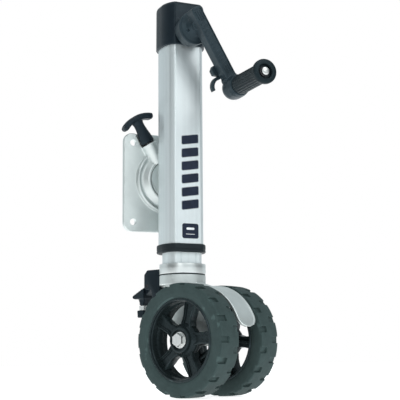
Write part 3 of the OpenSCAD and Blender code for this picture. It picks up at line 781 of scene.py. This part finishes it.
def handle_shape():
    """The pull handle: a flared stem under an arched bar with ribs along its top."""
    stem_rows = [(13.4, 9.0, 85), (14.2, 9.7, 86), (14.2, 9.7, 91), (13.2, 9.2, 98), (11.6, 8.6, 108),
                 (10.4, 8.2, 118), (10.4, 8.2, 125), (13, 9, 133)]
    stem = loft([([(x * wide, y * thick) for x, y in circle(1, 48)], z) for wide, thick, z in stem_rows])
    rows = []
    for i in range(33):
        s = i / 16 - 1
        angle = math.radians(90 - BOW_TILT * s)
        out = Vector((math.cos(angle), 0, math.sin(angle)))
        end = max(0.0, abs(s) - 0.84) / 0.16
        half_w = 11 * math.sqrt(max(1 - end * end * 0.75, 0.05))
        half_t = (6.0 if s > 0 else 5.2) * math.sqrt(max(1 - end * end * 0.85, 0.05))
        centre = out * (BOW_R - 5.8) + Vector((0, 0, BOW_AT))
        outline = tidy_outline(rounded([(-half_w, -half_t, 3.6), (half_w, -half_t, 3.6),
                                        (half_w, half_t, 3.2), (-half_w, half_t, 3.2)], 4))
        rows.append([centre + Vector((0, a, 0)) + out * b for a, b in outline])
    shape = cast(merge(stem, skin(rows)), 0.6, 4)
    ribs = []
    for y in (-6.6, -2.2, 2.2, 6.6):
        rows = []
        for i in range(25):
            angle = math.radians(90 + BOW_TILT * (0.82 - i * 1.1 / 24))
            out = Vector((math.cos(angle), 0, math.sin(angle)))
            base = out * (BOW_R - 0.9) + Vector((0, y, BOW_AT))
            rows.append([base + Vector((0, a, 0)) + out * b for a, b in circle(1.0, 10)])
        ribs.append(skin(rows))
    return merge(shape, *ribs)


piece(handle_shape(), "pull_handle", PIN, "pull_pin", "black_plastic", ["pin_handle"])


# ---------- crank ----------

ARM_BACK = 80
ARM_FRONT = 105
ARM_HALF = 11
ARM_OVER = 31
BOSS_FRONT = 119
SHAFT_R = 6.05
GRIP_BORE_R = 5.1


def arm_shape():
    """The moulded crank: a conical hub behind, a straight bar, and a boss that carries the grip."""
    hub = lathe(rounded([(0.02, 39), (30, 39, 1), (32, 62, 1), (32, 66, 2), (28, 66.5, 3), (20, 71, 6),
                         (14, 80, 3), (14, 88), (0.02, 88)], closed=False), 96)
    bar = slab(box_outline(-ARM_HALF, -ARM - 8, ARM_HALF, ARM_OVER, 5.5), ARM_BACK, ARM_FRONT, 2.2)
    boss = lathe(rounded([(0.02, ARM_BACK), (20, ARM_BACK, 4), (22, 90, 6), (21.8, 108, 6),
                          (20, BOSS_FRONT, 1.6), (0.02, BOSS_FRONT)], closed=False), 64)
    moved(boss, Matrix.Translation((0, -ARM, 0)))
    bridge_outline = box_outline(-ARM_HALF - 2.5, -ARM, ARM_HALF + 2.5, -ARM + 26, 6)
    bridge = slab(bridge_outline, ARM_BACK + 1, ARM_FRONT - 1, 3)
    shape = cast(merge(hub, bar, boss, bridge), 0.7, 4)
    panel_outline = box_outline(-ARM_HALF + 3, -ARM + 26, ARM_HALF - 3, ARM_OVER - 5, 2.5)
    panel = slab(panel_outline, ARM_FRONT - 1.4, ARM_FRONT + 2, 0)
    shaft = rod(SHAFT_R, SHAFT_R, (0, 0, 36), (0, 0, ARM_FRONT - 3))
    bolt = rod(GRIP_BORE_R, GRIP_BORE_R, (0, -ARM, 70), (0, -ARM, 130))
    nut_seat = rod(9, 9, (0, -ARM, 78), (0, -ARM, 86))
    cross = rod(2.6, 2.6, (-40, 0, ARM_BACK - 8), (40, 0, ARM_BACK - 8))
    return cut(shape, panel, shaft, bolt, nut_seat, cross)


def arm_relief():
    """Raised work inside the arm's panel: long ribs at its ends and a plain slanted grip pattern between."""
    parts = []
    base = ARM_FRONT - 1.6
    top_end, low_end = ARM_OVER - 8, -ARM + 29
    for x in (-4.6, 0, 4.6):
        for y0, y1 in ((top_end - 20, top_end), (low_end, low_end + 17)):
            parts.append(slab(box_outline(x - 1.1, y0, x + 1.1, y1, 1), base, ARM_FRONT - 0.3, 0.4))
    start, stop, count = low_end + 21, top_end - 24, 11
    for i in range(count):
        y = start + (stop - start) * i / (count - 1)
        corners = [(-6.6, y - 3.2, 1), (6.6, y + 0.6, 1), (6.6, y + 3.2, 1), (-6.6, y - 0.6, 1)]
        parts.append(slab(tidy_outline(rounded(corners, 3)), base, ARM_FRONT - 0.25, 0.5))
    return merge(*parts)


piece(merge(arm_shape(), arm_relief()), "crank_arm_moulding", CRANK, "crank", "crank_plastic", ["crank_arm"])


def clip_shape():
    """The stow clip: a square jaw on the arm's flank and a curved finger below it."""
    corners = [(-19, -96, 2), (-8, -103, 2), (10, -103, 2), (10, -82, 2), (-12, -80, 2), (-19, -86, 2)]
    jaw = slab(tidy_outline(rounded(corners)), ARM_BACK - 11, ARM_BACK + 1, 1.4)
    steps, r = 14, 17.5
    rows = []
    for i in range(steps + 1):
        a = math.radians(70 + 112 * i / steps)
        half = 2.9 + 0.5 * math.sin(math.pi * i / steps)
        centre = Vector((-15 + r * math.cos(a), -122 + r * math.sin(a), ARM_BACK - 5.5))
        out = Vector((math.cos(a), math.sin(a), 0))
        corners = [(-half, -5.4, 2), (half, -5.4, 2), (half, 5.4, 2), (-half, 5.4, 2)]
        outline = tidy_outline(rounded(corners, 4))
        rows.append([centre + out * p + Vector((0, 0, q)) for p, q in outline])
    hook = skin(rows)
    return cast(merge(jaw, hook), 0.5, 3)


piece(clip_shape(), "clip", CRANK, "crank", "crank_plastic", ["stow_clip"])

GRIP_FROM, GRIP_TO = sorted(corner.z for corner in local_box(CRANK, "crank_grip"))


def grip_shape():
    """The spinning grip: a ribbed barrel and a dished end flange."""
    length = GRIP_TO - GRIP_FROM
    ribs, per = 22, 8
    steps = ribs * per

    def ribbed(r, depth):
        radii = [r - depth * (0.5 - 0.5 * math.cos(i * math.tau / per)) for i in range(steps)]
        return [(radius * math.cos(i * math.tau / steps), radius * math.sin(i * math.tau / steps))
                for i, radius in enumerate(radii)]

    rows = [(16.8, 0, 0), (18.3, 0, 0.8), (18.5, 0, 2.2), (18.5, 0, 5), (18.5, 1.1, 8), (18.3, 1.3, 30),
            (18.1, 1.3, length - 30), (18.3, 1.1, length - 16), (18.5, 0, length - 13),
            (19.4, 0, length - 11), (22.2, 0, length - 8.5), (22.5, 0, length - 7), (22.5, 0, length - 2.6),
            (21.9, 0, length - 0.8), (20.8, 0, length), (14.2, 0, length - 0.2), (13.2, 0, length - 1.2),
            (12.0, 0, length - 6), (GRIP_BORE_R, 0, length - 6), (GRIP_BORE_R, 0, 0)]
    return loft([(ribbed(r, d), GRIP_FROM + z) for r, d, z in rows], closed=True)


piece(moved(grip_shape(), Matrix.Translation((0, -ARM, 0))), "grip", CRANK, "grip", "grip_rubber",
      ["crank_grip"])


def bolt_end():
    """The grip's bolt: a domed round head in the flange and a nut behind the arm."""
    stem = rod(5, 5, (0, 0, 81), (0, 0, GRIP_TO - 4))
    head = lathe([(7.4, GRIP_TO - 4), (7.4, GRIP_TO - 0.6), (6.9, GRIP_TO + 0.5), (5.4, GRIP_TO + 1.2),
                  (3, GRIP_TO + 1.5)], 32)
    nut = lathe([(7, 81), (8, 82), (8, 85.5)], 6)
    return moved(merge(stem, head, soften(nut, 0.4)), Matrix.Translation((0, -ARM, 0)))


piece(bolt_end(), "grip_bolt_turned", CRANK, "crank", "steel", ["grip_bolt"])


# ---------- caster ----------

COLLAR_R = 43.4
KING_R = 9.1
AXLE_BORE_R = 6.4


def collar_shape():
    """The turned collar under the leg, with a plug that fits inside the leg."""
    low, high = height("leg_collar", 0), leg_low
    body = lathe(rounded([(KING_R, low), (COLLAR_R, low, 0.9), (COLLAR_R, high, 1.2), (KING_R, high)]),
                 128, closed=True)
    plug_outline = d_outline(LEG_R - WALL - 0.1, LEG_FLAT - WALL - 0.1, LEG_DEPTH, 1)
    plug = slab(plug_outline, high - 1, height("leg_collar", 1), 0)
    return merge(body, cut(plug, rod(KING_R, KING_R, (0, 0, 200), (0, 0, 300))))


piece(collar_shape(), "collar", TUBE, "leg", "machined_aluminium", ["leg_collar"])

HEAD_LOW = 204
FENDER_R = 100.5
FENDER_HALF = 25.0
FENDER_TIP = 166.5  # degrees about the axle, 90 at the top
FENDER_REAR = 75
TIP_ROUND = 20.0


def yoke_shape():
    """The caster's casting: a round head, a web down to the axle and a fender over the wheels."""
    top = height("yoke", 1)
    head = lathe(rounded([(0.02, HEAD_LOW), (COLLAR_R, HEAD_LOW, 1.5), (COLLAR_R, top, 0.9), (0.02, top)],
                         closed=False), 128)
    y, z = -TRAIL, AXLE_H
    web = sideways(rounded([(-42, 208), (40, 208), (37, 165, 30), (29, 118, 30), (y + 9, z - 9, 9),
                            (y - 9, z - 4, 9), (y - 34, z + 45, 20), (y - 30, z + 92, 4)]), 10, 2)
    boss = rod(10, 10, (-10, y, z), (10, y, z))
    fender = fender_shape(Vector((0, y, z)))
    pad = slab(box_outline(-13, 34, 13, 44.2, 1.5), 202, 220, 1)
    shape = cast(merge(head, web, boss, fender, pad), 0.8, 4)
    king_bore = rod(KING_R, KING_R, (0, 0, 180), (0, 0, 240))
    nut_seat = rod(17.5, 17.5, (0, 0, 180), (0, 0, HEAD_LOW))
    axle_bore = rod(AXLE_BORE_R, AXLE_BORE_R, (-50, y, z), (50, y, z))
    return cut(shape, king_bore, nut_seat, axle_bore)


def fender_shape(axle_at):
    """The fender, a ribbed strip round the axle with a rounded tip."""
    steps = 44
    rows = []
    for i in range(steps + 1):
        degrees = FENDER_REAR + (FENDER_TIP - FENDER_REAR) * i / steps
        ahead = math.radians(FENDER_TIP - degrees) * FENDER_R
        half = FENDER_HALF
        if ahead < TIP_ROUND:
            half = FENDER_HALF - TIP_ROUND + math.sqrt(max(TIP_ROUND ** 2 - (TIP_ROUND - ahead) ** 2, 0.3))
        profile = rounded([(-half, -5.6), (-half + 2.6, -5.6), (-half + 3.4, -3.2, 1), (half - 3.4, -3.2, 1),
                           (half - 2.6, -5.6), (half, -5.6), (half, -0.2, 1.6), (half - 2.4, 0.7, 1.6),
                           (half - 5.5, -0.5, 2.5), (-half + 5.5, -0.5, 2.5), (-half + 2.4, 0.7, 1.6),
                           (-half, -0.2, 1.6)], 4)
        out = Vector((0, math.cos(math.radians(degrees)), math.sin(math.radians(degrees))))
        rows.append([axle_at + Vector((x, 0, 0)) + out * (FENDER_R - 0.7 + y) for x, y in profile])
    return skin(rows)


piece(yoke_shape(), "yoke_casting", CASTER, "caster", "cast_aluminium", ["yoke"])


def pedal_bore():
    """The pedal pin's bore through the housing and the pedal."""
    return rod(4.05, 4.05, (-30, 76, 206), (30, 76, 206))


def lock_block():
    """The swivel lock's moulded housing, with a well for the pedal and a slot for the shoe."""
    shell = sideways(rounded([(44.3, 182, 2), (62, 182, 3), (66, 199, 2), (80, 199, 5), (84, 205, 3),
                              (84, 228, 5), (76, 236.5, 5), (44.3, 236.5, 2)]), 18, 1.8)
    well = sideways([(62, 190), (90, 190), (90, 222), (84, 234.4), (62, 234.4)], 9, 0)
    slot = slab([(-6.2, 40), (6.2, 40), (6.2, 80), (-6.2, 80)], 227.8, 234.2, 0)
    return cut(shell, well, slot, pedal_bore())


piece(lock_block(), "lock_block", CASTER, "caster", "black_plastic", ["lock_housing"])


def pedal_shape():
    """The foot pedal: a finger inside the housing, a broad tread outside and a socket for the strap."""
    finger = sideways(rounded([(71.5, 205, 2), (71.5, 234, 1), (76, 234, 1), (82, 211, 6), (90, 207, 4),
                               (102, 200, 4), (112, 190, 3), (103, 170, 2), (94, 170, 2), (88, 190, 4),
                               (76, 200, 3)]), 8, 1)
    tread = sideways(rounded([(88, 204, 2), (119, 188.5, 2.5), (118, 184, 2), (112, 182.5, 3),
                              (88, 182.5, 2)]), 15, 1.8)
    socket = sideways(rounded([(88, 186), (102, 186), (102, 170.5, 2), (92, 170.5, 2)]), 12, 1.5)
    ribs = [rod(0.9, 0.9, (-13, 96 + 6 * i, 200.1 - 3 * i), (13, 96 + 6 * i, 200.1 - 3 * i), 12)
            for i in range(4)]
    return cut(merge(cast(merge(finger, tread, socket), 0.6, 2), *ribs), pedal_bore())


piece(pedal_shape(), "pedal", CASTER, "pedal", "black_plastic", ["foot_pedal"])


def toe_shape():
    """The toe pad on the strap's end, with three ribs across its front."""
    pad = sideways(rounded([(93, 147, 2), (106, 147, 2), (107.5, 161, 2), (91, 161, 2)]), 13, 1.4)
    places = [(106.6 - i * 0.1, 150 + i * 3.4) for i in range(3)]
    ribs = [rod(0.8, 0.8, (-11.5, y, z), (11.5, y, z), 12) for y, z in places]
    return merge(pad, *ribs)


piece(toe_shape(), "toe_pad_moulded", CASTER, "pedal", "black_plastic", ["toe_pad"])


# ---------- wheels ----------

WHEEL_R = 101.6
TYRE_HALF = 24
RIM_R = 74.3
LUGS = 17
NOTCH_DEPTH = 4.2
SPOKES = 5
SPOKE_PHASE = 4


def tyre_shape():
    """A solid tyre with notches let into both shoulders, staggered."""
    half = TYRE_HALF
    side = rounded([(RIM_R + 0.1, half - 2.6), (78, half - 1.2, 3), (84, half, 6), (94, half - 0.1, 4),
                    (WHEEL_R - 0.4, half - 1.4, 3.0), (WHEEL_R - 0.3, half - 6)], 5, closed=False)
    tread = [(WHEEL_R - 0.3 * (z / (half - 6)) ** 2, z) for z in (15, 12, 9, 6, 3)]
    half_profile = side + tread
    profile = half_profile + [(WHEEL_R, 0)] + [(r, -z) for r, z in reversed(half_profile)]
    shape = lathe(profile, 192, closed=True)
    stand = Matrix(((0, 0, 1, 0), (0, 1, 0, 0), (1, 0, 0, 0), (0, 0, 0, 1)))
    tools = []
    for edge, start, turn in ((1, half - 20, 0), (-1, half - 16, 0.5)):
        for i in range(LUGS):
            z0, z1 = sorted((edge * start, edge * (half + 4)))
            tool = slab(box_outline(z0, -5.8, z1, 5.8, 2.2), WHEEL_R - NOTCH_DEPTH, WHEEL_R + 6, 0)
            tools.append(moved(tool, Matrix.Rotation((i + turn) * math.tau / LUGS, 4, "Z") @ stand))
    return soften(cut(shape, merge(*tools)), 0.8, 2, 50)


def rim_shape():
    """The moulded rim: a deep stepped barrel and five thick spokes with raised borders."""
    barrel = lathe(rounded([(RIM_R, -22), (RIM_R, 22), (72.4, 23.4, 1.5), (70.4, 23.4, 1.5), (69.6, 20, 1.5),
                            (68.4, 18, 1.5), (67.6, 8, 2), (65, 4, 2), (64.4, -6, 2), (67.6, -9, 2),
                            (68.4, -20, 2), (70.5, -23.4, 1.5), (72.4, -23.4, 1.5)]), 128, closed=True)
    hub = lathe(rounded([(9.6, -27.8), (15.5, -27.8, 1.5), (17, -8, 3), (30, -6, 6), (31, 8, 5), (24, 16, 5),
                         (22.5, 22, 1.8), (18.6, 22, 0.8), (18.4, 18), (9.6, 18)]), 96, closed=True)
    corners = [(20, -14, 8), (40, -9.4, 26), (70, -12.6), (70, 12.6), (40, 9.4, 26), (20, 14, 8)]
    spoke_outline = tidy_outline(rounded(corners, 6))
    spoke = slab(spoke_outline, -6, 12.5, 1.6)
    cut(spoke, slab(inset(spoke_outline, 2.6), 10.6, 20, 0), slab(inset(spoke_outline, 5.2), 8.4, 20, 0))
    rib = slab(box_outline(30, -2.2, 69, 2.2, 1), -14, -5, 0.8)
    spokes = moved(around(merge(spoke, rib), SPOKES), Matrix.Rotation(math.radians(SPOKE_PHASE), 4, "Z"))
    return merge(barrel, hub, spokes)


for side in ("left", "right"):
    for part, shape, finish in (("tyre", tyre_shape, "tyre_rubber"), ("rim", rim_shape, "rim_plastic")):
        node = f"{part}_{side}"
        piece(shape(), f"{node}_moulded", WHEEL[side], f"wheel_{side}", finish, [node])


# ---------- the frame's own nodes ----------

SLOT_OF = {s["node"]: s["material_slot"] for s in frame["record"]["subparts"]}
for name, node in nodes.items():
    node.data.materials.clear()
    node.data.materials.append(MATERIALS[SLOT_OF[name]])
    if node.hide_render:
        continue
    weld = node.modifiers.new("weld", "WELD")
    weld.merge_threshold = 0.000005
    bevel = node.modifiers.new("edges", "BEVEL")
    bevel.width = 0.0004
    bevel.segments = 2
    bevel.limit_method = "ANGLE"
    bevel.angle_limit = math.radians(40)


# ---------- studio ----------


def area_light(name, at, size, power):
    """A rectangular softbox that faces the jack."""
    light = bpy.data.lights.new(name, "AREA")
    light.shape = "RECTANGLE"
    light.size, light.size_y = size
    light.energy = power
    obj = bpy.data.objects.new(name, light)
    bpy.context.collection.objects.link(obj)
    obj.location = at
    obj.rotation_euler = (MIDDLE - Vector(at)).to_track_quat("-Z", "Y").to_euler()


MIDDLE = Vector((0, -0.08, -0.05))
area_light("key", (0.6, -1.9, 1.3), (0.8, 1.2), 8.5)
area_light("left_fill", (-1.2, -1.7, 0.9), (0.5, 1.2), 5.0)
area_light("top", (-0.2, -0.3, 1.7), (1.0, 1.0), 4)

world = bpy.data.worlds.new("studio")
bpy.context.scene.world = world
world.use_nodes = True
sky = world.node_tree
background = sky.nodes["Background"]
direction = sky.nodes.new("ShaderNodeTexCoord").outputs["Generated"]


def dimmed(value, towards, start, full, share):
    """The value lowered by a share around one direction, as a dark card beside the subject would."""
    dot = sky.nodes.new("ShaderNodeVectorMath")
    dot.operation = "DOT_PRODUCT"
    dot.inputs[1].default_value = Vector(towards).normalized()
    sky.links.new(direction, dot.inputs[0])
    card = sky.nodes.new("ShaderNodeMapRange")
    card.interpolation_type = "SMOOTHSTEP"
    for socket, number in (("From Min", start), ("From Max", full), ("To Min", 1.0), ("To Max", 1.0 - share)):
        card.inputs[socket].default_value = number
    sky.links.new(dot.outputs["Value"], card.inputs["Value"])
    product = sky.nodes.new("ShaderNodeMath")
    product.operation = "MULTIPLY"
    sky.links.new(card.outputs["Result"], product.inputs[0])
    if isinstance(value, float):
        product.inputs[1].default_value = value
    else:
        sky.links.new(value, product.inputs[1])
    return product.outputs["Value"]


SKY = 0.66
strength = dimmed(SKY, (-0.93, -0.20, 0.1), 0.80, 0.97, 0.85)
strength = dimmed(strength, (0.92, -0.36, 0.1), 0.80, 0.97, 0.7)
strength = dimmed(strength, (0, 0, -1), 0.1, 0.9, 0.6)
seen = sky.nodes.new("ShaderNodeLightPath").outputs["Is Camera Ray"]
shown = sky.nodes.new("ShaderNodeMix")
sky.links.new(seen, shown.inputs[0])
sky.links.new(strength, shown.inputs[2])
shown.inputs[3].default_value = 1.0
sky.links.new(shown.outputs[0], background.inputs["Strength"])
tone = sky.nodes.new("ShaderNodeMix")
tone.data_type = "RGBA"
sky.links.new(seen, tone.inputs[0])
tone.inputs[6].default_value = (0.88, 0.97, 1, 1)
tone.inputs[7].default_value = (1, 1, 1, 1)
sky.links.new(tone.outputs[2], background.inputs["Color"])

bm = bmesh.new()
bmesh.ops.create_grid(bm, x_segments=1, y_segments=1, size=6)
floor = mesh_object("floor", bm)
floor.location.z = GROUND
paper = Graph("floor_paper")
floor_colour = paper.mix(paper.remap(paper.noise(3, 3), 0.3, 0.7), (0.9, 0.9, 0.9), (0.93, 0.93, 0.93))
floor_rough = paper.remap(paper.noise(9, 3), 0.3, 0.7, 0.85, 0.95)
floor_normal = paper.bump(paper.noise(300, 2), 0.05, 0.0002)
paper.finish(floor_colour, floor_rough, floor_normal, Emission_Color=(1, 1, 1, 1), Emission_Strength=0.75)
floor.data.materials.append(paper.material)

bpy.context.scene.view_settings.view_transform = "Standard"
